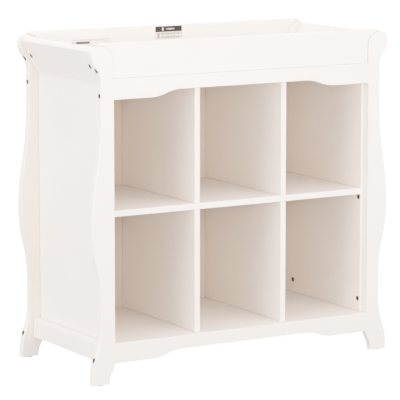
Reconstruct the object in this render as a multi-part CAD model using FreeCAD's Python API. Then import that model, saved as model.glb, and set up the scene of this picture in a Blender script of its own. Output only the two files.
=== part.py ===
"""Sleigh-style baby changing table with six open cubbies, bolted together from painted boards.

Millimetres. X runs left to right, Y front to back, Z up. The origin is on the floor at the middle of
the footprint. The right half is drawn and the left half is its mirror image.
"""
import FreeCAD, Part
import math
import os

V = FreeCAD.Vector

# ---- driving dimensions --------------------------------------------------------------------------
DEPTH = 471.0  # outer faces of the front and back posts
OPENING = 876.6  # clear width between the left and right posts
GUARD_TOP = 988.0  # top of the front and back guards, the highest point
SEAM = 886.0  # guards stand on the top rails here
POST = 22.0  # thickness of posts, aprons and rails
BOARD = 18.0  # thickness of shelves, dividers and guards
TILT_BOARD = 22.0  # thickness of the upper side boards
SIDE_PANEL = 19.5
BACK_PANEL = 3.0
GLIDE = 2.5  # the feet stand this high on their glides

TRAY_TOP = 870.0  # the surface that the changing pad lies on
SHELF_TOP = 503.0
FLOOR_TOP = 120.0  # top of the bottom shelf and of the bottom rails
RAIL_BOTTOM = 61.5
TOP_RAIL_BOTTOM = 826.0
ARCH_RISE = 19.5  # how far the aprons' lower edges rise between their two ogees
ARCH_HALF = 212.5  # the raised part runs this far to each side
ARCH_FOOT = 316.5  # and the ogee ends here

DIVIDER_X = 149.3  # middle plane of each divider
SIDE_INNER = 428.5  # inner face of each side panel
SIDE_RAIL = 24.0  # thickness of the bottom side rails
GUARD_RECESS = 4.0  # the guards' outer faces lie this far behind the posts' faces
PANEL_SETBACK = 8.5  # the back panel's face lies this far behind the back posts' inner faces

TILT = math.radians(27.5)  # the upper side boards lean outwards
TILT_FOOT = 454.7  # outer lower arris of an upper side board
TILT_INSIDE = 4.0  # its top keeps this far inside the rolled heads

# outline of a post: distances from the middle plane, and heights
WAIST = 479.4
WAIST_HEIGHTS = (793.0, 876.2)
BELLY = 510.3
BELLY_HEIGHTS = (450.0, 465.0)
ANKLE = 483.8
ANKLE_HEIGHTS = (165.0, 250.0)
TOE = 512.2
TOE_HEIGHT = 15.0
HEEL = 455.3
HEEL_HEIGHTS = (8.0, 66.0)
HEAD_TOP = 980.7
HEAD_X = 482.0  # the rolled head's highest point
HEAD_TIP = 508.2  # and its outermost one
HEAD_ARC = 43.7  # radius of the inner sweep up to the head

ROUND = 3.0  # rounding of the posts' arrises
SOFT = 1.5  # rounding of the small arrises
CRISP = 1.0  # and of the upper side boards' outer upper arrises
BIG_ROUND = 9.0  # rounded upper arris of the bottom side rails

# fasteners
BOLT_HEIGHTS = {"guard": 909.0, "top_rail": 838.0, "bottom_rail": 75.5}
BOLT_FACES = {"guard": 484.0, "top_rail": 478.6, "bottom_rail": 500.0}  # just under the posts' edges
BOLT_INSETS = {"guard": 12.5, "top_rail": 11.0, "bottom_rail": 11.0}  # axes from the posts' faces
BOLT_HEAD = 13.0
BOLT_HEAD_HEIGHT = 4.0
BOLT_SHANK = 6.0
NUT_INSET = 28.0  # barrel nut's axis from the end of its rail
NUT = 10.0
NUT_REACH = 16.0  # how far the nut goes into its rail from the rail's inner face
DOWEL = 8.0
DIVIDER_DOWEL_Y = 140.0
SHELF_DOWEL_Y = 70.0
CAM = 15.0
CAM_DEPTH = 12.0
CAM_SUNK = 0.6  # a cam's face lies this far below the board's
CAM_PIN = 5.0
TILT_CAM_UP = 54.1  # the upper side boards' cams, up their outer faces
TILT_CAM_FRONT = 43.4  # and from the front frame
TILT_CAM_BACK = 16.5  # and from the back frame
PANEL_PIN_INSET = 15.0  # the side panels' pins lie nearer their outer faces, to enter the posts
SHELF_CAM_Y = 150.0
SHELF_CAM_INSET = 34.0
PLAY = 0.3  # clearance round a fastener

# ---- derived planes ------------------------------------------------------------------------------
INNER = OPENING / 2  # inner edge of the posts
FRONT = -DEPTH / 2
FRAME_IN = DEPTH / 2 - POST  # inner faces of the front and back frames, at -FRAME_IN and +FRAME_IN
BOLT_Y = DEPTH / 2 - POST / 2
SIDE_OUTER = SIDE_INNER + SIDE_PANEL
BACK_FACE = FRAME_IN + PANEL_SETBACK
HEAD_SIDE = HEAD_TOP - (HEAD_TIP - HEAD_X)

parts = {}
holes = []


# ---- shape helpers -------------------------------------------------------------------------------
def box(x0, x1, y0, y1, z0, z1):
    return Part.makeBox(x1 - x0, y1 - y0, z1 - z0, V(x0, y0, z0))


def rod(diameter, start, end):
    """A cylinder from one point to another."""
    axis = end - start
    return Part.makeCylinder(diameter / 2, axis.Length, start, axis)


def mirrored(shape):
    return shape.mirror(V(0, 0, 0), V(1, 0, 0))


def to_back(shape):
    return shape.mirror(V(0, 0, 0), V(0, 1, 0))


def line(a, b):
    return Part.makeLine(V(a[0], 0, a[1]), V(b[0], 0, b[1]))


def tangent_arc(tip, far, upright):
    """The arc from tip to far that leaves tip along Z when upright, or else along X."""
    run, rise = far[0] - tip[0], far[1] - tip[1]
    if not upright:
        run, rise = rise, run
    radius = (run * run + rise * rise) / (2 * abs(run))
    half = math.atan2(abs(run), abs(rise))
    run_mid = math.copysign(radius * (1 - math.cos(half)), run)
    rise_mid = math.copysign(radius * math.sin(half), rise)
    if not upright:
        run_mid, rise_mid = rise_mid, run_mid
    middle = V(tip[0] + run_mid, 0, tip[1] + rise_mid)
    return Part.Arc(V(tip[0], 0, tip[1]), middle, V(far[0], 0, far[1])).toShape()


def s_curve(start, end, share=0.5, upright=True):
    """Two tangent arcs, which meet at the given share of the way from start to end."""
    meet = (start[0] + share * (end[0] - start[0]), start[1] + share * (end[1] - start[1]))
    return [tangent_arc(start, meet, upright), tangent_arc(end, meet, upright)]


def board_from(edges, y0, y1):
    """A board cut to an outline in the XZ plane, from y0 to y1 in depth."""
    face = Part.Face(Part.Wire(Part.__sortEdges__(edges)))
    face.translate(V(0, y0, 0))
    return face.extrude(V(0, y1 - y0, 0))


def soften(shape, radius, wanted):
    """Round the edges whose bounding box passes the test."""
    edges = [edge for edge in shape.Edges if wanted(edge.BoundBox)]
    return shape.makeFillet(radius, edges)


def flat(low, high, value, slack=0.01):
    """True where a box's extent in one direction lies in the plane at value."""
    return abs(low - value) < slack and abs(high - value) < slack


def pair(left, right, shape):
    """Store a right-hand piece and its mirror image."""
    parts[right] = shape
    parts[left] = mirrored(shape)


def four(shape):
    """A front-right fastener repeated at all four corners."""
    right = [shape, to_back(shape)]
    return right + [mirrored(piece) for piece in right]


def group(name, pieces):
    parts[name] = Part.makeCompound(pieces)


# ---- posts ---------------------------------------------------------------------------------------
def post_outline():
    head_mid = math.sqrt(0.5)
    inner_centre = V(INNER + HEAD_ARC, 0, HEAD_TOP - HEAD_ARC)
    outer_centre = V(HEAD_X, 0, HEAD_SIDE)
    outer_radius = HEAD_TIP - HEAD_X
    sweep = Part.Arc(
        V(INNER, 0, HEAD_TOP - HEAD_ARC),
        inner_centre + V(-HEAD_ARC * head_mid, 0, HEAD_ARC * head_mid),
        V(HEAD_X, 0, HEAD_TOP),
    ).toShape()
    head = Part.Arc(
        V(HEAD_X, 0, HEAD_TOP),
        outer_centre + V(outer_radius * head_mid, 0, outer_radius * head_mid),
        V(HEAD_TIP, 0, HEAD_SIDE),
    ).toShape()
    edges = [line((TOE, GLIDE), (HEEL, GLIDE)), line((HEEL, GLIDE), (HEEL, HEEL_HEIGHTS[0]))]
    edges += s_curve((HEEL, HEEL_HEIGHTS[0]), (INNER, HEEL_HEIGHTS[1]))
    edges += [line((INNER, HEEL_HEIGHTS[1]), (INNER, HEAD_TOP - HEAD_ARC)), sweep, head]
    edges += s_curve((HEAD_TIP, HEAD_SIDE), (WAIST, WAIST_HEIGHTS[1]), 0.447)
    edges += [line((WAIST, WAIST_HEIGHTS[1]), (WAIST, WAIST_HEIGHTS[0]))]
    edges += s_curve((WAIST, WAIST_HEIGHTS[0]), (BELLY, BELLY_HEIGHTS[1]), 0.644)
    edges += [line((BELLY, BELLY_HEIGHTS[1]), (BELLY, BELLY_HEIGHTS[0]))]
    edges += s_curve((BELLY, BELLY_HEIGHTS[0]), (ANKLE, ANKLE_HEIGHTS[1]))
    edges += [line((ANKLE, ANKLE_HEIGHTS[1]), (ANKLE, ANKLE_HEIGHTS[0]))]
    edges += s_curve((ANKLE, ANKLE_HEIGHTS[0]), (TOE, TOE_HEIGHT))
    edges += [line((TOE, TOE_HEIGHT), (TOE, GLIDE))]
    return edges


def make_posts():
    post = board_from(post_outline(), FRONT, FRONT + POST)

    def arris(b):
        on_a_face = flat(b.YMin, b.YMax, FRONT) or flat(b.YMin, b.YMax, FRONT + POST)
        return on_a_face and b.ZMax > GLIDE + 1

    post = soften(post, ROUND, arris)
    # the arris stays square where rails and panels butt against the post
    square = box(INNER, INNER + ROUND + 1, FRONT, FRONT + POST, HEEL_HEIGHTS[1], SEAM)
    post = post.fuse(square).removeSplitter()
    pair("front_left_post", "front_right_post", post)
    pair("back_left_post", "back_right_post", to_back(post))


# ---- the front and back frames -------------------------------------------------------------------
def arched_outline(bottom, top):
    arch = bottom + ARCH_RISE
    edges = [
        line((-INNER, top), (INNER, top)),
        line((INNER, bottom), (INNER, top)),
        line((-INNER, bottom), (-INNER, top)),
        line((-ARCH_HALF, arch), (ARCH_HALF, arch)),
    ]
    for side in (-1, 1):
        edges.append(line((side * INNER, bottom), (side * ARCH_FOOT, bottom)))
        edges += s_curve((side * ARCH_FOOT, bottom), (side * ARCH_HALF, arch), 0.5, upright=False)
    return edges


def make_aprons():
    """Rails across the front, with an ogee-scalloped lower edge, and plain ones across the back."""
    for name, bottom, top in (
        ("front_top_apron", TOP_RAIL_BOTTOM, SEAM),
        ("front_bottom_apron", RAIL_BOTTOM, FLOOR_TOP),
    ):
        apron = board_from(arched_outline(bottom, top), FRONT, FRONT + POST)
        parts[name] = soften(
            apron, SOFT, lambda b: flat(b.YMin, b.YMax, FRONT) and b.XLength > 1
        )
    for name, bottom, top in (
        ("back_top_rail", TOP_RAIL_BOTTOM, SEAM),
        ("back_bottom_rail", RAIL_BOTTOM, FLOOR_TOP),
    ):
        rail = box(-INNER, INNER, FRAME_IN, DEPTH / 2, bottom, top)
        parts[name] = soften(
            rail, SOFT, lambda b: flat(b.YMin, b.YMax, DEPTH / 2) and b.XLength > 1
        )


def make_guards():
    """Boards on top of the upper rails, with ends cut to follow the posts' rolled heads."""
    gap = 0.5
    end = INNER - gap
    spring = HEAD_TOP - HEAD_ARC
    centre = V(HEAD_X, 0, spring)
    radius = HEAD_X - end
    diagonal = radius * math.sqrt(0.5)
    nose = GUARD_TOP - spring - radius
    shoulder = HEAD_X - nose
    edges = [line((-shoulder, GUARD_TOP), (shoulder, GUARD_TOP)), line((-end, SEAM), (end, SEAM))]
    for side in (-1, 1):
        sweep = Part.Arc(
            V(side * end, 0, spring),
            V(side * (centre.x - diagonal), 0, spring + diagonal),
            V(side * HEAD_X, 0, spring + radius),
        ).toShape()
        edges.append(line((side * end, SEAM), (side * end, spring)))
        edges.append(sweep)
        edges.append(tangent_arc((side * HEAD_X, spring + radius), (side * shoulder, GUARD_TOP), True))
    guard = board_from(edges, FRONT + GUARD_RECESS, FRONT + POST)
    guard = soften(guard, ROUND, lambda b: flat(b.ZMin, b.ZMax, GUARD_TOP) and b.XLength > 100)
    front = FRONT + GUARD_RECESS
    guard = soften(guard, SOFT, lambda b: flat(b.YMin, b.YMax, front) and b.ZMax < GUARD_TOP - ROUND)
    parts["front_guard"] = guard
    parts["back_guard"] = to_back(guard)


# ---- the sides -----------------------------------------------------------------------------------
def make_sides():
    panel = box(SIDE_INNER, SIDE_OUTER, -FRAME_IN, FRAME_IN, RAIL_BOTTOM, TRAY_TOP)
    pair("left_side_panel", "right_side_panel", panel)

    outer = SIDE_OUTER + SIDE_RAIL
    rail = box(SIDE_OUTER, outer, -FRAME_IN, FRAME_IN, RAIL_BOTTOM, FLOOR_TOP)
    along = 2 * FRAME_IN
    rail = soften(
        rail, BIG_ROUND,
        lambda b: flat(b.XMin, b.XMax, outer) and flat(b.ZMin, b.ZMax, FLOOR_TOP) and b.YLength > along - 1,
    )
    rail = soften(
        rail, SOFT,
        lambda b: flat(b.XMin, b.XMax, outer) and flat(b.ZMin, b.ZMax, RAIL_BOTTOM) and b.YLength > along - 1,
    )
    pair("left_bottom_side_rail", "right_bottom_side_rail", rail)


def tilt_point(up, inwards):
    """A point of an upper side board: up its outer face, and inwards through its thickness."""
    x = TILT_FOOT + up * math.sin(TILT) - inwards * math.cos(TILT)
    z = TRAY_TOP + up * math.cos(TILT) + inwards * math.sin(TILT)
    return (x, z)


def tilt_length(inwards):
    """How far a plane of an upper side board reaches up, to the arc inside the rolled heads."""
    x, z = tilt_point(0, inwards)
    x, z = x - HEAD_X, z - HEAD_SIDE
    along = x * math.sin(TILT) + z * math.cos(TILT)
    radius = HEAD_TIP - HEAD_X - TILT_INSIDE
    return math.sqrt(along * along - x * x - z * z + radius * radius) - along


def make_upper_side_boards():
    outer_foot = (TILT_FOOT, TRAY_TOP)
    outer_top = tilt_point(tilt_length(0), 0)
    inner_top = tilt_point(tilt_length(TILT_BOARD), TILT_BOARD)
    inner_foot = (TILT_FOOT - TILT_BOARD / math.cos(TILT), TRAY_TOP)
    centre = V(HEAD_X, 0, HEAD_SIDE)
    first = V(outer_top[0], 0, outer_top[1])
    last = V(inner_top[0], 0, inner_top[1])
    outwards = (first + last - centre * 2).normalize()
    crown = Part.Arc(first, centre + outwards * (HEAD_TIP - HEAD_X - TILT_INSIDE), last).toShape()
    edges = [line(inner_top, inner_foot), line(inner_foot, outer_foot), line(outer_foot, outer_top), crown]
    board = board_from(edges, -FRAME_IN, FRAME_IN)

    def arris_at(corner):
        return lambda b: (
            flat(b.XMin, b.XMax, corner[0]) and flat(b.ZMin, b.ZMax, corner[1]) and b.YLength > 100
        )

    board = soften(board, CRISP, arris_at(outer_top))
    board = soften(board, ROUND, arris_at(inner_top))
    pair("left_upper_side_board", "right_upper_side_board", board)


# ---- shelves, dividers and back ------------------------------------------------------------------
def make_shelves():
    def shelf(name, top, back, rounded):
        board = box(-SIDE_INNER, SIDE_INNER, -FRAME_IN, back, top - BOARD, top)
        if rounded:
            board = soften(board, SOFT, lambda b: flat(b.YMin, b.YMax, -FRAME_IN) and b.XLength > 1)
        parts[name] = board

    shelf("tray_floor", TRAY_TOP, FRAME_IN, False)
    shelf("middle_shelf", SHELF_TOP, BACK_FACE, True)
    shelf("bottom_shelf", FLOOR_TOP, FRAME_IN, False)


def make_dividers():
    upper_top = TRAY_TOP - BOARD
    notch_bottom = TOP_RAIL_BOTTOM
    for level, bottom, top in (
        ("upper", SHELF_TOP, upper_top),
        ("lower", FLOOR_TOP, SHELF_TOP - BOARD),
    ):
        left, right = DIVIDER_X - BOARD / 2, DIVIDER_X + BOARD / 2
        board = box(left, right, -FRAME_IN, BACK_FACE, bottom, top)
        board = soften(board, SOFT, lambda b: flat(b.YMin, b.YMax, -FRAME_IN) and b.ZLength > 100)
        if level == "upper":
            # the rear top corner is notched round the back top rail
            board = board.cut(box(left, right, FRAME_IN, BACK_FACE, notch_bottom, top))
        pair(level + "_left_divider", level + "_right_divider", board)


def make_back():
    """A thin panel in grooves of the back posts and rails."""
    lap = 7.7
    edge = INNER + lap
    low, high = FLOOR_TOP - lap, TOP_RAIL_BOTTOM + lap
    parts["back_panel"] = box(-edge, edge, BACK_FACE, BACK_FACE + BACK_PANEL, low, high)
    groove = box(
        -edge - PLAY, edge + PLAY, BACK_FACE - PLAY, BACK_FACE + BACK_PANEL + PLAY, low - PLAY, high + PLAY
    )
    for name in ("back_left_post", "back_right_post", "back_top_rail", "back_bottom_rail"):
        parts[name] = parts[name].cut(groove)


# ---- fasteners -----------------------------------------------------------------------------------
def hex_socket(start, direction, across, depth):
    """A hexagonal prism for a bolt head's socket, with its axis along X."""
    corner = across / math.sqrt(3)
    points = []
    for i in range(7):
        angle = math.radians(60 * i)
        points.append(start + V(0, corner * math.cos(angle), corner * math.sin(angle)))
    return Part.Face(Part.makePolygon(points)).extrude(direction * depth)


def make_post_bolts():
    """Socket bolts through the posts' outer edges into barrel nuts in the ends of the rails."""
    nuts = []
    for name, z in BOLT_HEIGHTS.items():
        y = FRONT + BOLT_INSETS[name]
        face = V(BOLT_FACES[name], y, z)
        inwards = V(-1, 0, 0)
        seat = face + inwards * BOLT_HEAD_HEIGHT
        nut_x = INNER - NUT_INSET
        tip = V(nut_x - NUT / 2 - 3, y, z)
        head = rod(BOLT_HEAD, face, seat)
        bolt = head.fuse(rod(BOLT_SHANK, seat, tip)).removeSplitter()
        bolt = bolt.cut(hex_socket(face, inwards, 5.0, 2.6))
        group(name + "_bolts", four(bolt))

        nut_front = -FRAME_IN - NUT_REACH
        nut = rod(NUT, V(nut_x, nut_front, z), V(nut_x, -FRAME_IN - 0.5, z))
        nut = nut.cut(rod(BOLT_SHANK, face, tip))
        nuts += four(nut)

        counterbore = rod(BOLT_HEAD + 2 * PLAY, seat, V(TOE + 5, y, z))
        clearance = rod(BOLT_SHANK + 2 * PLAY, seat, tip + inwards)
        pocket = rod(NUT + 2 * PLAY, V(nut_x, nut_front - PLAY, z), V(nut_x, -FRAME_IN, z))
        holes.extend(four(counterbore.fuse(clearance)))
        holes.extend(four(pocket))
    group("barrel_nuts", nuts)


def dowels(name, ends):
    """Plain wooden dowels between pairs of points, and their holes."""
    group(name, [rod(DOWEL, start, end) for start, end in ends])
    for start, end in ends:
        reach = (end - start).normalize() * 0.5
        holes.append(rod(DOWEL + 0.2, start - reach, end + reach))


def corners_of(start, end):
    """A pair of points at the front right, and its three mirror images."""
    ends = []
    for sx in (1, -1):
        for sy in (1, -1):
            ends.append((V(sx * start.x, sy * start.y, start.z), V(sx * end.x, sy * end.y, end.z)))
    return ends


def make_dowels():
    reach = 15.0
    ends = []
    for z in (930.0, 862.0, 104.0):
        ends += corners_of(V(INNER - reach, -BOLT_Y, z), V(INNER + reach, -BOLT_Y, z))
    dowels("rail_dowels", ends)

    middle = SIDE_OUTER + SIDE_RAIL / 2
    ends = []
    for z in (88.0, 106.0):
        ends += corners_of(V(middle, -FRAME_IN - 12, z), V(middle, -FRAME_IN + 18, z))
    dowels("side_rail_dowels", ends)

    ends = []
    for up in (22.0, 88.0):
        x, z = tilt_point(up, TILT_BOARD / 2)
        ends += corners_of(V(x, -FRAME_IN - 12, z), V(x, -FRAME_IN + 18, z))
    dowels("upper_side_board_dowels", ends)

    ends = []
    for low, high in (
        (FLOOR_TOP - 11, FLOOR_TOP + 19),
        (SHELF_TOP - BOARD - 19, SHELF_TOP + 19),
        (TRAY_TOP - BOARD - 19, TRAY_TOP - BOARD + 11),
    ):
        ends += corners_of(V(DIVIDER_X, -DIVIDER_DOWEL_Y, low), V(DIVIDER_X, -DIVIDER_DOWEL_Y, high))
    dowels("divider_dowels", ends)

    ends = []
    for top in (TRAY_TOP, SHELF_TOP, FLOOR_TOP):
        z = top - BOARD / 2
        ends += corners_of(V(SIDE_INNER - 19, -SHELF_DOWEL_Y, z), V(SIDE_INNER + 11, -SHELF_DOWEL_Y, z))
    dowels("shelf_dowels", ends)


def cam_lock(face, inwards, toward):
    """A cam housing with a cross slot in its visible end.

    face is the centre of that end, inwards its direction, and one arm of the slot points toward the pin.
    """
    housing = rod(CAM, face, face + inwards * CAM_DEPTH)
    slot_length = CAM * 0.7
    slot_width = 1.8
    side = inwards.cross(toward).normalize()
    up = side.cross(inwards).normalize()
    for arm, cross in ((side, up), (up, side)):
        corner = face - arm * (slot_length / 2) - cross * (slot_width / 2)
        far = corner + arm * slot_length
        points = [corner, far, far + cross * slot_width, corner + cross * slot_width, corner]
        housing = housing.cut(Part.Face(Part.makePolygon(points)).extrude(inwards * 1.6))
    return housing


def cam_fitting(face, inwards, pin_depth, pin_end):
    """One cam, the pin that it pulls on, and the hole for both.

    face is the mouth of the hole, pin_depth the depth of the pin's axis below it.
    """
    top = face + inwards * CAM_SUNK
    pin_start = face + inwards * pin_depth
    toward = (pin_end - pin_start).normalize()
    channel = rod(CAM_PIN + 2 * PLAY, pin_start, pin_end + toward * 0.5)
    housing = cam_lock(top, inwards, toward).cut(channel)
    pin = rod(CAM_PIN, pin_start + toward * 2.0, pin_end)
    pocket = rod(CAM + 0.2, face, face + inwards * (CAM_SUNK + CAM_DEPTH + PLAY))
    return housing, pin, pocket.fuse(channel)


def store_cams(name, fittings):
    group(name + "_cams", [housing for housing, _, _ in fittings])
    group(name + "_cam_pins", [pin for _, pin, _ in fittings])
    holes.extend(hole for _, _, hole in fittings)


def make_side_panel_cams():
    """Fittings in the side panels' inner faces, whose pins enter the posts."""
    fittings = []
    for side in (1, -1):
        for z in (160.5, 475.5):
            for y, pin_y in ((-FRAME_IN + 12, -FRAME_IN - 11), (FRAME_IN - 52, FRAME_IN + 7)):
                face = V(side * SIDE_INNER, y, z)
                pin_end = V(side * (SIDE_INNER + PANEL_PIN_INSET), pin_y, z)
                fittings.append(cam_fitting(face, V(side, 0, 0), PANEL_PIN_INSET, pin_end))
    store_cams("side_panel", fittings)


def make_upper_side_board_cams():
    """Fittings in the leaning boards' outer faces, whose pins enter the posts."""
    fittings = []
    x, z = tilt_point(TILT_CAM_UP, 0)
    depth = TILT_BOARD / 2
    ends = (
        (-FRAME_IN + TILT_CAM_FRONT, -FRAME_IN - 11),
        (FRAME_IN - TILT_CAM_BACK, FRAME_IN + 11),
    )
    for side in (1, -1):
        inwards = V(-side * math.cos(TILT), 0, math.sin(TILT))
        for y, pin_y in ends:
            face = V(side * x, y, z)
            middle = face + inwards * depth
            fittings.append(cam_fitting(face, inwards, depth, V(middle.x, pin_y, middle.z)))
    store_cams("upper_side_board", fittings)


def make_shelf_cams():
    """Fittings in the undersides of the tray floor and both shelves, whose pins enter the side panels."""
    fittings = []
    for top in (TRAY_TOP, SHELF_TOP, FLOOR_TOP):
        for side in (1, -1):
            for y in (-SHELF_CAM_Y, SHELF_CAM_Y):
                face = V(side * (SIDE_INNER - SHELF_CAM_INSET), y, top - BOARD)
                pin_end = V(side * (SIDE_INNER + 11), y, top - BOARD / 2)
                fittings.append(cam_fitting(face, V(0, 0, 1), BOARD / 2, pin_end))
    store_cams("shelf", fittings)


def countersunk_screw(face, inwards, length, shank):
    """A screw with its flat head level with the surface, and its hole."""
    head = Part.makeCone(shank, shank / 2, shank / 2, face, inwards)
    body = rod(shank, face + inwards * (shank / 2), face + inwards * length)
    hole = rod(shank + 2 * PLAY, face, face + inwards * (length + 1))
    seat = Part.makeCone(shank + PLAY, shank / 2 + PLAY, shank / 2, face, inwards)
    return head.fuse(body).removeSplitter(), hole.fuse(seat)


def make_screws():
    """Screws through the side panels into the bottom side rails, below the bottom shelf."""
    screws = []
    for side in (1, -1):
        for y in (-150.0, 0.0, 150.0):
            screw, hole = countersunk_screw(V(side * SIDE_INNER, y, 82), V(side, 0, 0), 36.0, 4.0)
            screws.append(screw)
            holes.append(hole)
    group("side_rail_screws", screws)


def make_glides():
    """A nail-on glide under each foot."""
    x = (HEEL + TOE) / 2
    disc = rod(20.0, V(x, -BOLT_Y, 0), V(x, -BOLT_Y, GLIDE))
    nail = rod(2.5, V(x, -BOLT_Y, GLIDE), V(x, -BOLT_Y, GLIDE + 14))
    glide = soften(disc, 1.0, lambda b: flat(b.ZMin, b.ZMax, 0.0)).fuse(nail).removeSplitter()
    group("foot_glides", four(glide))
    holes.extend(four(rod(2.7, V(x, -BOLT_Y, GLIDE), V(x, -BOLT_Y, GLIDE + 15))))


def make_labels():
    """Two plain stickers on the inner face of the back guard."""
    thickness = 0.4
    parts["care_label"] = box(-45, 49, FRAME_IN - thickness, FRAME_IN, 944.5, 984.5)
    parts["lot_label"] = box(-334, -200, FRAME_IN - thickness, FRAME_IN, 928, 957)


# ---- build ---------------------------------------------------------------------------------------
make_posts()
make_aprons()
make_guards()
make_sides()
make_upper_side_boards()
make_shelves()
make_dividers()
make_back()
boards = list(parts)
make_post_bolts()
make_dowels()
make_side_panel_cams()
make_upper_side_board_cams()
make_shelf_cams()
make_screws()
make_glides()
make_labels()

for name in boards:
    near = [hole for hole in holes if hole.BoundBox.intersect(parts[name].BoundBox)]
    if near:
        parts[name] = parts[name].cut(near)

os.makedirs("parts", exist_ok=True)
for name, shape in parts.items():
    bounds = shape.BoundBox
    print(
        f"{name:28s} solids {len(shape.Solids):2d} valid {shape.isValid()} "
        f"volume {shape.Volume / 1000:9.1f} cm3  z {bounds.ZMin:.1f}..{bounds.ZMax:.1f}"
    )
    shape.exportStep("parts/" + name + ".step")
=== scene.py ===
"""Looks and lighting of the changing table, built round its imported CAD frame.

Metres, Z up, and the front faces -Y.
"""

import math

import bpy
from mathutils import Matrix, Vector

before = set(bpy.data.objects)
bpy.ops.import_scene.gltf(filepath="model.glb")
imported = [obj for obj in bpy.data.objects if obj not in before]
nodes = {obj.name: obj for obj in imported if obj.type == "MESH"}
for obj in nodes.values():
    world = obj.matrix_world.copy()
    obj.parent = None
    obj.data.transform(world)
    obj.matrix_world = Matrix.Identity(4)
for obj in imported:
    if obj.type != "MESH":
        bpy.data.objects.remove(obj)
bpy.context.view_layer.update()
scene = bpy.context.scene

# ---- camera --------------------------------------------------------------------------------------
CAMERA_PLACE = (-3.8117, -6.3575, 1.6270)
CAMERA_TURN = (81.147, 0.0, -30.859)
CAMERA_LENS = 222.9
SENSOR_WIDTH = 36.0
NEAREST = 0.1
FARTHEST = 200.0


def make_camera():
    data = bpy.data.cameras.new("camera")
    data.lens = CAMERA_LENS
    data.sensor_width = SENSOR_WIDTH
    data.clip_start = NEAREST
    data.clip_end = FARTHEST
    camera = bpy.data.objects.new("camera", data)
    camera.location = CAMERA_PLACE
    camera.rotation_euler = [math.radians(angle) for angle in CAMERA_TURN]
    scene.collection.objects.link(camera)
    scene.camera = camera


make_camera()


# ---- node graphs ---------------------------------------------------------------------------------
BEVEL_SAMPLES = 8
SHELTER_SAMPLES = 6
EDGE_TURN = (0.02, 0.25)  # how far the normal turns where an edge mask begins, and where it is full
SHELTER = (0.25, 0.80)  # the share of open sky in the depth of a joint, and on an open face
PATCHY = (0.35, 0.65)  # the range of a noise that makes patches which fade into each other
FINE = (0.3, 0.7)  # the range of a noise that moves roughness evenly


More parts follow.
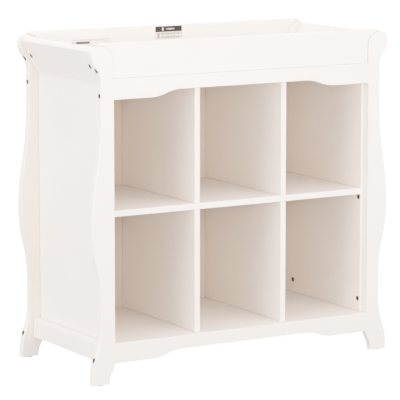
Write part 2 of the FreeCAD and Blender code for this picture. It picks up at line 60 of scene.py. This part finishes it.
class Graph:
    """A material's node tree, with short calls for the nodes used here."""

    def __init__(self, name):
        self.material = bpy.data.materials.new(name)
        self.material.use_nodes = True
        self.tree = self.material.node_tree
        self.tree.nodes.clear()
        self.output = self.node("ShaderNodeOutputMaterial")
        self.place = self.node("ShaderNodeTexCoord").outputs["Object"]

    def node(self, kind, **settings):
        made = self.tree.nodes.new(kind)
        for name, value in settings.items():
            setattr(made, name, value)
        return made

    def feed(self, socket, value):
        if isinstance(value, bpy.types.NodeSocket):
            self.tree.links.new(value, socket)
        elif value is not None:
            socket.default_value = value

    def math(self, operation, a, b=None):
        made = self.node("ShaderNodeMath", operation=operation)
        for socket, value in zip(made.inputs, (a, b)):
            self.feed(socket, value)
        return made.outputs[0]

    def stretched(self, scale):
        """The object's coordinates, scaled along each axis."""
        made = self.node("ShaderNodeMapping")
        self.feed(made.inputs["Vector"], self.place)
        made.inputs["Scale"].default_value = scale
        return made.outputs[0]

    def noise(self, place, scale, detail=2.0, roughness=0.5, distortion=0.0):
        made = self.node("ShaderNodeTexNoise")
        self.feed(made.inputs["Vector"], place)
        for name, value in (
            ("Scale", scale), ("Detail", detail), ("Roughness", roughness), ("Distortion", distortion),
        ):
            made.inputs[name].default_value = value
        return made.outputs["Fac"]

    def remap(self, value, low, high, to_low, to_high):
        """The value moved from one range to another, and held inside the second."""
        made = self.node("ShaderNodeMapRange", clamp=True)
        for socket, given in zip(made.inputs, (value, low, high, to_low, to_high)):
            self.feed(socket, given)
        return made.outputs["Result"]

    def blend(self, share, a, b):
        """A colour between a and b."""
        made = self.node("ShaderNodeMix", data_type="RGBA")
        self.feed(made.inputs["Factor"], share)
        for name, value in (("A", a), ("B", b)):
            socket = [s for s in made.inputs if s.name == name and s.type == "RGBA"][0]
            if isinstance(value, tuple):
                value = (*value, 1.0)
            self.feed(socket, value)
        return [s for s in made.outputs if s.type == "RGBA"][0]

    def edges(self, radius):
        """1 near an edge of the mesh, 0 away from it."""
        bevel = self.node("ShaderNodeBevel", samples=BEVEL_SAMPLES)
        bevel.inputs["Radius"].default_value = radius
        dot = self.node("ShaderNodeVectorMath", operation="DOT_PRODUCT")
        self.feed(dot.inputs[0], bevel.outputs["Normal"])
        self.feed(dot.inputs[1], self.node("ShaderNodeNewGeometry").outputs["Normal"])
        return self.remap(self.math("SUBTRACT", 1.0, dot.outputs["Value"]), *EDGE_TURN, 0.0, 1.0)

    def painted_shade_mask(self, reach):
        """A mask for painted shade: 1 in a joint or an inner corner, 0 on open faces."""
        shelter = self.node("ShaderNodeAmbientOcclusion", samples=SHELTER_SAMPLES)
        shelter.inputs["Distance"].default_value = reach
        return self.remap(shelter.outputs["AO"], *SHELTER, 1.0, 0.0)

    def bump(self, height, distance, strength=1.0, normal=None):
        made = self.node("ShaderNodeBump")
        made.inputs["Strength"].default_value = strength
        made.inputs["Distance"].default_value = distance
        self.feed(made.inputs["Height"], height)
        self.feed(made.inputs["Normal"], normal)
        return made.outputs["Normal"]

    def along(self, axis):
        """The object's coordinate along one axis, in metres."""
        made = self.node("ShaderNodeSeparateXYZ")
        self.feed(made.inputs[0], self.place)
        return made.outputs[axis]

    def between(self, value, low, high, soft):
        """1 where the value lies between two bounds, 0 elsewhere."""
        rising = self.remap(value, low - soft, low + soft, 0.0, 1.0)
        falling = self.remap(value, high - soft, high + soft, 1.0, 0.0)
        return self.math("MULTIPLY", rising, falling)

    def cells(self, place, scale):
        """The distance to the nearest of many scattered points."""
        made = self.node("ShaderNodeTexVoronoi")
        self.feed(made.inputs["Vector"], place)
        made.inputs["Scale"].default_value = scale
        return made.outputs["Distance"]

    def soft_normal(self, radius):
        """The surface's normal with its sharp arrises rounded by this radius."""
        bevel = self.node("ShaderNodeBevel", samples=BEVEL_SAMPLES)
        bevel.inputs["Radius"].default_value = radius
        return bevel.outputs["Normal"]

    def shade(self, colour, roughness, normal, **constants):
        shader = self.node("ShaderNodeBsdfPrincipled")
        self.feed(shader.inputs["Base Color"], colour)
        self.feed(shader.inputs["Roughness"], roughness)
        self.feed(shader.inputs["Normal"], normal)
        for name, value in constants.items():
            shader.inputs[name.replace("_", " ")].default_value = value
        self.feed(self.output.inputs["Surface"], shader.outputs["BSDF"])
        return self.material


# ---- materials -----------------------------------------------------------------------------------
PAINT = (0.912, 0.862, 0.820)
PAINT_WARM = (0.885, 0.805, 0.750)
# pale paint for random mottle, and for the painted highlight on arrises
PAINT_PALE_AND_HIGHLIGHT = (0.920, 0.870, 0.835)
# the colour of the painted shade in joints and inner corners
PAINTED_SHADE_COLOUR = (0.40, 0.35, 0.31)
# bare board colour, dark enough to also be painted shade inside the bores
RAW_BOARD_AND_SHADE = (0.34, 0.26, 0.20)
BACK_TONE = (0.72, 0.60, 0.50)
DARK_METAL = (0.085, 0.066, 0.055)
BRONZE = (0.150, 0.122, 0.105)
DARK_METAL_RUBBED = (0.30, 0.25, 0.21)
ZINC = (0.62, 0.62, 0.60)
ZINC_DULL = (0.40, 0.41, 0.41)
BEECH = (0.58, 0.38, 0.22)
BEECH_DARK = (0.40, 0.23, 0.12)
BEECH_PORE = (0.20, 0.10, 0.05)
PAPER = (0.74, 0.70, 0.66)
PAPER_PALE = (0.84, 0.79, 0.74)
PAPER_AGED = (0.66, 0.60, 0.54)
HEADER_INK = (0.018, 0.011, 0.009)
TEXT_INK = (0.12, 0.11, 0.11)
ICON_INK = (0.24, 0.14, 0.10)
NYLON = (0.07, 0.062, 0.055)
NYLON_SCUFFED = (0.20, 0.18, 0.165)
BORE_RADIUS = 0.0068  # of the bolt holes in the posts
BORE_RIM = (0.0001, 0.0004)  # the paint begins and is full this far outside a bore
JOINT_REACH = 0.005  # painted shade darkens the paint this near a joint
JOINT_SHADE = 0.70
WORN_AND_HIGHLIGHT_RIM = 0.0014  # the paint is rubbed and lightened with a painted highlight this near an arris
PAINT_ARRIS = 0.0009  # radius that the paint gives to an arris
PAINT_ROUGHNESS = 0.36
BACK_ROUGHNESS = 0.42
BACK_TONED = 0.7  # share of a darker, warmer tone blended into the back panel's paint
FRAME_GRAIN = 0.00008  # height of the grain that shows through the paint
BOARD_GRAIN = 0.00003
BACK_GRAIN = 0.00002
DARK_METALLIC = 0.85
INK_BLUR_ACROSS = 0.004  # share of a sticker's width
INK_BLUR_UP = 0.012  # share of its height
STRETCH = 0.06  # grain runs about sixteen times as far along a board as across it
GRAIN_SCALES = {"X": (STRETCH, 1.0, 1.0), "Y": (1.0, STRETCH, 1.0), "Z": (1.0, 1.0, STRETCH)}


def scaled(colour, times):
    return tuple(times * channel for channel in colour)


def bolt_axes(*names):
    """The depth and height of each bolt's axis, from the bolts in the frame."""
    axes = []
    for name in names:
        corners = [vertex.co for vertex in nodes[name].data.vertices]
        height = (max(c.z for c in corners) + min(c.z for c in corners)) / 2
        front = [c.y for c in corners if c.y < 0]
        depth = (max(front) + min(front)) / 2
        axes.append((depth, height))
    return axes


def bare_and_shaded_bores(g, colour):
    """Bare board inside the bolts' bores, which the paint doesn't reach; its dark colour also serves as
    painted shade inside the bores.
    """
    depth = g.math("ABSOLUTE", g.along("Y"))
    for bolt_depth, bolt_height in bolt_axes("guard_bolts", "top_rail_bolts", "bottom_rail_bolts"):
        off_y = g.math("ADD", depth, bolt_depth)
        off_z = g.math("SUBTRACT", g.along("Z"), bolt_height)
        squares = g.math("ADD", g.math("MULTIPLY", off_y, off_y), g.math("MULTIPLY", off_z, off_z))
        rim_start, rim_end = (BORE_RADIUS + step for step in BORE_RIM)
        inside = g.remap(g.math("SQRT", squares), rim_start, rim_end, 1.0, 0.0)
        colour = g.blend(inside, colour, RAW_BOARD_AND_SHADE)
    return colour


def paint(name, along, grain_height, dull=PAINT_ROUGHNESS, bored=False, toned=0.0):
    """Sprayed satin paint on a board whose grain runs along one axis."""
    g = Graph(name)
    grain = g.noise(g.stretched(GRAIN_SCALES[along]), 260.0, 3.0, 0.6)
    fibres = g.noise(g.stretched(GRAIN_SCALES[along]), 900.0, 2.0, 0.5)
    peel = g.noise(g.place, 320.0, 2.0, 0.5)
    cloud = g.noise(g.place, 5.0, 3.0, 0.55)
    mottle = g.noise(g.place, 38.0, 3.0, 0.6)
    edge = g.edges(WORN_AND_HIGHLIGHT_RIM)

    colour = g.blend(g.remap(cloud, *PATCHY, 0.0, 0.55), PAINT, PAINT_WARM)
    colour = g.blend(g.remap(mottle, 0.45, 0.7, 0.0, 0.35), colour, PAINT_PALE_AND_HIGHLIGHT)
    colour = g.blend(g.remap(grain, 0.58, 0.74, 0.0, 0.10), colour, PAINT_WARM)
    # painted highlight, with some wear: arrises painted paler in patches
    worn_and_highlight = g.math("MULTIPLY", edge, g.remap(mottle, 0.40, 0.60, 0.25, 0.8))
    colour = g.blend(worn_and_highlight, colour, PAINT_PALE_AND_HIGHLIGHT)
    if toned:
        colour = g.blend(toned, colour, BACK_TONE)
    # painted shade: darker paint in joints and inner corners, where little open sky reaches
    colour = g.blend(g.math("MULTIPLY", g.painted_shade_mask(JOINT_REACH), JOINT_SHADE), colour, PAINTED_SHADE_COLOUR)
    if bored:
        colour = bare_and_shaded_bores(g, colour)

    roughness = g.math("ADD", g.remap(peel, *FINE, dull - 0.05, dull + 0.05),
                       g.remap(cloud, *FINE, -0.04, 0.05))
    roughness = g.math("SUBTRACT", roughness, g.math("MULTIPLY", edge, 0.06))

    normal = g.soft_normal(PAINT_ARRIS)
    normal = g.bump(cloud, 0.0016, 0.12, normal)
    normal = g.bump(peel, 0.00006, 0.8, normal)
    normal = g.bump(g.math("ADD", g.math("MULTIPLY", grain, 0.8), g.math("MULTIPLY", fibres, 0.2)),
                    grain_height, 0.8, normal)
    return g.shade(colour, roughness, normal)


def dark_metal(name, base):
    """Dark plated steel, rubbed paler on its arrises and socket edges."""
    g = Graph(name)
    cloud = g.noise(g.place, 420.0, 3.0, 0.6)
    pits = g.noise(g.place, 2600.0, 2.0, 0.6)
    scratches = g.noise(g.stretched((1.0, 0.08, 1.0)), 3200.0, 2.0, 0.5)
    edge = g.edges(0.0005)
    colour = g.blend(g.remap(cloud, *PATCHY, 0.0, 0.5), base, scaled(base, 1.6))
    rubbed = g.math("MULTIPLY", edge, g.remap(cloud, 0.35, 0.6, 0.2, 0.9))
    colour = g.blend(rubbed, colour, DARK_METAL_RUBBED)
    colour = g.blend(g.remap(scratches, 0.62, 0.70, 0.0, 0.35), colour, DARK_METAL_RUBBED)
    roughness = g.math("SUBTRACT", g.remap(pits, *FINE, 0.36, 0.52), g.math("MULTIPLY", rubbed, 0.12))
    normal = g.bump(cloud, 0.00008, 0.4, g.soft_normal(0.0003))
    normal = g.bump(g.math("ADD", pits, g.math("MULTIPLY", scratches, 0.5)), 0.00002, 0.6, normal)
    return g.shade(colour, roughness, normal, Metallic=DARK_METALLIC)


def zinc_plate(name):
    """Bright zinc plating with a faint spangle, duller where it has been handled."""
    g = Graph(name)
    spangle = g.cells(g.place, 700.0)
    cloud = g.noise(g.place, 260.0, 3.0, 0.6)
    brushed = g.noise(g.stretched((0.08, 1.0, 1.0)), 3000.0, 2.0, 0.5)
    edge = g.edges(0.0004)
    colour = g.blend(g.remap(cloud, 0.38, 0.66, 0.0, 0.75), ZINC, ZINC_DULL)
    colour = g.blend(g.remap(spangle, 0.0, 0.9, 0.0, 0.25), colour, scaled(ZINC, 1.15))
    colour = g.blend(g.math("MULTIPLY", edge, 0.6), colour, scaled(ZINC, 1.25))
    roughness = g.math("ADD", g.remap(cloud, *FINE, 0.24, 0.44), g.remap(spangle, 0.0, 0.9, -0.03, 0.05))
    normal = g.bump(brushed, 0.00002, 0.7, g.soft_normal(0.0002))
    normal = g.bump(spangle, 0.00001, 0.5, normal)
    return g.shade(colour, roughness, normal, Metallic=1.0)


def beech_wood(name, along):
    """Bare turned beech, with rings and short dark flecks along the dowel."""
    g = Graph(name)
    rings = g.noise(g.stretched(GRAIN_SCALES[along]), 420.0, 4.0, 0.6, 1.2)
    fibres = g.noise(g.stretched(GRAIN_SCALES[along]), 2400.0, 2.0, 0.6)
    flecks = g.cells(g.stretched(GRAIN_SCALES[along]), 1500.0)
    edge = g.edges(0.0006)
    colour = g.blend(g.remap(rings, 0.36, 0.64, 0.0, 0.8), BEECH, BEECH_DARK)
    colour = g.blend(g.remap(fibres, 0.45, 0.75, 0.0, 0.35), colour, BEECH_DARK)
    colour = g.blend(g.remap(flecks, 0.02, 0.16, 0.7, 0.0), colour, BEECH_PORE)
    colour = g.blend(g.math("MULTIPLY", edge, 0.4), colour, scaled(BEECH, 1.2))
    roughness = g.remap(fibres, *FINE, 0.52, 0.72)
    normal = g.bump(rings, 0.00010, 0.5, g.soft_normal(0.0004))
    normal = g.bump(fibres, 0.00004, 0.8, normal)
    return g.shade(colour, roughness, normal)


def moulded_nylon(name):
    """Grey nylon with a fine moulded texture and scuffs round its rim."""
    g = Graph(name)
    grain = g.noise(g.place, 1800.0, 2.0, 0.6)
    cloud = g.noise(g.place, 180.0, 3.0, 0.6)
    edge = g.edges(0.0008)
    scuff = g.math("MULTIPLY", edge, g.remap(cloud, 0.42, 0.58, 0.1, 0.9))
    colour = g.blend(g.remap(cloud, 0.4, 0.7, 0.0, 0.4), NYLON, scaled(NYLON, 0.7))
    colour = g.blend(scuff, colour, NYLON_SCUFFED)
    roughness = g.math("ADD", g.remap(grain, *FINE, 0.42, 0.58), g.math("MULTIPLY", scuff, 0.12))
    normal = g.bump(grain, 0.00004, 0.7, g.soft_normal(0.0006))
    return g.shade(colour, roughness, normal)


class Sticker:
    """A printed paper sticker, whose print is laid out in shares of its width and height."""

    def __init__(self, name, piece, paper=PAPER):
        g = Graph(name)
        self.graph = g
        corners = [vertex.co for vertex in nodes[piece].data.vertices]
        left, right = min(c.x for c in corners), max(c.x for c in corners)
        low, high = min(c.z for c in corners), max(c.z for c in corners)
        self.across = g.remap(g.along("X"), left, right, 0.0, 1.0)
        self.up = g.remap(g.along("Z"), low, high, 0.0, 1.0)
        self.fibre = g.noise(g.place, 900.0, 3.0, 0.6)
        cloud = g.noise(g.place, 60.0, 2.0, 0.5)
        colour = g.blend(g.remap(cloud, *PATCHY, 0.0, 0.4), paper, PAPER_AGED)
        self.colour = g.blend(g.remap(self.fibre, 0.5, 0.7, 0.0, 0.15), colour, PAPER_AGED)

    def area(self, across, up):
        """1 inside a rectangle of the sticker, 0 outside it."""
        g = self.graph
        columns = g.between(self.across, *across, INK_BLUR_ACROSS)
        return g.math("MULTIPLY", columns, g.between(self.up, *up, INK_BLUR_UP))

    def block(self, across, up, ink, strength=1.0):
        """Print a rectangle of ink."""
        g = self.graph
        self.colour = g.blend(g.math("MULTIPLY", self.area(across, up), strength), self.colour, ink)

    def dashes(self, across, up, ink, strength, period):
        """Print a row of short dashes of uneven length, as a stand-in for a line of small type."""
        g = self.graph
        spaced = g.node("ShaderNodeCombineXYZ")
        g.feed(spaced.inputs["X"], self.across)
        breaks = g.remap(g.noise(spaced.outputs[0], period, 1.0, 0.5), 0.40, 0.44, 0.0, strength)
        self.colour = g.blend(g.math("MULTIPLY", self.area(across, up), breaks), self.colour, ink)

    def finish(self):
        g = self.graph
        curl = g.edges(0.0008)
        colour = g.blend(g.math("MULTIPLY", curl, 0.3), self.colour, PAPER_AGED)
        roughness = g.remap(self.fibre, *FINE, 0.34, 0.46)
        return g.shade(colour, roughness, g.bump(self.fibre, 0.00003, 0.6))


def care_sticker():
    """A dark header with an icon and a title bar, over two rows of small type beside an icon column."""
    sticker = Sticker("printed_label", "care_label")
    header = 0.575
    sticker.block((0.0, 1.0), (header, 1.0), HEADER_INK)
    sticker.block((0.25, 0.31), (header + 0.10, 0.90), PAPER)
    sticker.dashes((0.40, 0.72), (header + 0.16, 0.84), PAPER, 0.75, 24.0)
    sticker.block((0.0, 0.012), (0.0, header), TEXT_INK, 0.6)
    sticker.block((0.988, 1.0), (0.0, header), TEXT_INK, 0.6)
    sticker.block((0.08, 0.16), (0.10, header - 0.07), ICON_INK, 0.7)
    for low, high in ((0.36, 0.50), (0.10, 0.24)):
        sticker.dashes((0.20, 0.93), (low, high), TEXT_INK, 0.55, 30.0)
    return sticker.finish()


def lot_sticker():
    """A pale sticker with a faint dark line along its top, a faint row of type, a bold dash and a dot."""
    sticker = Sticker("printed_lot_label", "lot_label", PAPER_PALE)
    sticker.block((0.0, 1.0), (0.95, 1.0), TEXT_INK, 0.35)
    sticker.dashes((0.10, 0.90), (0.80, 0.88), TEXT_INK, 0.25, 40.0)
    sticker.block((0.105, 0.455), (0.53, 0.75), HEADER_INK, 0.9)
    sticker.block((0.02, 0.05), (0.58, 0.72), HEADER_INK, 0.85)
    return sticker.finish()


def give(material, *names):
    for name in names:
        node = nodes[name]
        node.data.materials.clear()
        node.data.materials.append(material)


upright = paint("paint_upright", "Z", FRAME_GRAIN, bored=True)
along_x = paint("paint_along_x", "X", FRAME_GRAIN)
along_y = paint("paint_along_y", "Y", FRAME_GRAIN)
board_z = paint("board_paint_upright", "Z", BOARD_GRAIN)
board_x = paint("board_paint_along_x", "X", BOARD_GRAIN)
bolt_metal = dark_metal("dark_hardware_bolts", BRONZE)
cam_metal = dark_metal("dark_hardware_cams", DARK_METAL)
zinc = zinc_plate("zinc_hardware")

give(upright, "front_left_post", "front_right_post", "back_left_post", "back_right_post")
give(along_x, "front_top_apron", "front_bottom_apron", "back_top_rail", "back_bottom_rail", "front_guard",
     "back_guard")
give(along_y, "left_bottom_side_rail", "right_bottom_side_rail", "left_upper_side_board",
     "right_upper_side_board")
give(board_z, "left_side_panel", "right_side_panel", "upper_left_divider", "upper_right_divider",
     "lower_left_divider", "lower_right_divider")
give(board_x, "tray_floor", "middle_shelf", "bottom_shelf")
give(paint("back_paint", "Z", BACK_GRAIN, BACK_ROUGHNESS, toned=BACK_TONED), "back_panel")
give(bolt_metal, "guard_bolts", "top_rail_bolts", "bottom_rail_bolts", "upper_side_board_cams")
give(cam_metal, "side_panel_cams")
give(zinc, "barrel_nuts", "shelf_cams", "side_panel_cam_pins", "upper_side_board_cam_pins",
     "shelf_cam_pins", "side_rail_screws")
give(beech_wood("beech_along_x", "X"), "rail_dowels", "shelf_dowels")
give(beech_wood("beech_along_y", "Y"), "side_rail_dowels", "upper_side_board_dowels")
give(beech_wood("beech_along_z", "Z"), "divider_dowels")
give(care_sticker(), "care_label")
give(lot_sticker(), "lot_label")
give(moulded_nylon("glide_plastic"), "foot_glides")

for node in nodes.values():
    node.data.shade_smooth()

# ---- floor and light -----------------------------------------------------------------------------
SHOULDER = 3.0  # how strongly the tone curve lifts the shades
CURVE_STEPS = 8
FLOOR_REACH = 40.0
FLOOR_GLOW = 0.8
FLOOR_ROUGHNESS = 0.8
FLOOR_PATCHES = 0.8  # scale of its faint unevenness
FLOOR_TONES = ((0.62, 0.62, 0.62), (0.60, 0.60, 0.60))
WHITE = (1.0, 1.0, 1.0, 1.0)
ALL_CHANNELS = 3  # the curve that works on red, green and blue together
WORLD_LIGHT = 0.32
NEUTRAL = (1.0, 0.97, 0.95)
WARM = (1.0, 0.77, 0.63)
HEART = (0.0, 0.0, 0.5)  # the middle of the table, where the lights behind and to the right point


def set_tone():
    """A soft shoulder, which keeps the pale paint's shape next to a white floor."""
    view = scene.view_settings
    view.view_transform = "Standard"
    view.use_curve_mapping = True
    curve = view.curve_mapping.curves[ALL_CHANNELS]
    for step in range(1, CURVE_STEPS):
        light = step / CURVE_STEPS
        curve.points.new(light, (1 - math.exp(-SHOULDER * light)) / (1 - math.exp(-SHOULDER)))
    view.curve_mapping.update()


def make_floor():
    """A white backdrop floor that glows by itself and throws no light back at the table."""
    mesh = bpy.data.meshes.new("floor")
    corners = [(x * FLOOR_REACH, y * FLOOR_REACH, 0.0) for x, y in ((-1, -1), (1, -1), (1, 1), (-1, 1))]
    mesh.from_pydata(corners, [], [(0, 1, 2, 3)])
    floor = bpy.data.objects.new("floor", mesh)
    scene.collection.objects.link(floor)
    g = Graph("floor")
    shade = g.blend(g.noise(g.place, FLOOR_PATCHES), *FLOOR_TONES)
    glow = {"Emission_Color": WHITE, "Emission_Strength": FLOOR_GLOW}
    floor.data.materials.append(g.shade(shade, FLOOR_ROUGHNESS, None, **glow))
    floor.visible_diffuse = False
    floor.visible_glossy = False
    floor.visible_shadow = False


def area_light(name, place, aim, size, power, colour=NEUTRAL, spread=180.0):
    data = bpy.data.lights.new(name, "AREA")
    data.shape = "RECTANGLE"
    data.size, data.size_y = size
    data.energy = power
    data.color = colour
    data.spread = math.radians(spread)
    light = bpy.data.objects.new(name, data)
    light.location = place
    light.rotation_euler = (Vector(aim) - Vector(place)).to_track_quat("-Z", "Y").to_euler()
    scene.collection.objects.link(light)


def make_world():
    world = bpy.data.worlds.new("studio")
    scene.world = world
    world.use_nodes = True
    background = world.node_tree.nodes["Background"]
    background.inputs["Color"].default_value = WHITE
    background.inputs["Strength"].default_value = WORLD_LIGHT


set_tone()
make_floor()
make_world()
area_light("fill_by_camera", place=(-2.9, -4.9, 1.35), aim=(0.2, -0.2, 0.95), size=(1.2, 1.2), power=4.4,
           colour=WARM, spread=60.0)
area_light("left_softbox", place=(-4.5, -0.8, 0.9), aim=(-0.3, 0.0, 0.6), size=(3.0, 1.6), power=45.0)
area_light("right_softbox", place=(4.5, -0.5, 1.8), aim=HEART, size=(3.0, 2.5), power=9.0)
area_light("front_softbox", place=(0.4, -2.6, 1.15), aim=(0.0, 0.0, 0.8), size=(2.0, 1.0), power=17.0)
area_light("back_softbox", place=(0.0, 3.2, 3.6), aim=HEART, size=(3.0, 2.5), power=16.0)
area_light("overhead_softbox", place=(0.0, 0.0, 3.2), aim=(0.0, 0.0, 0.0), size=(6.0, 6.0), power=71.0)
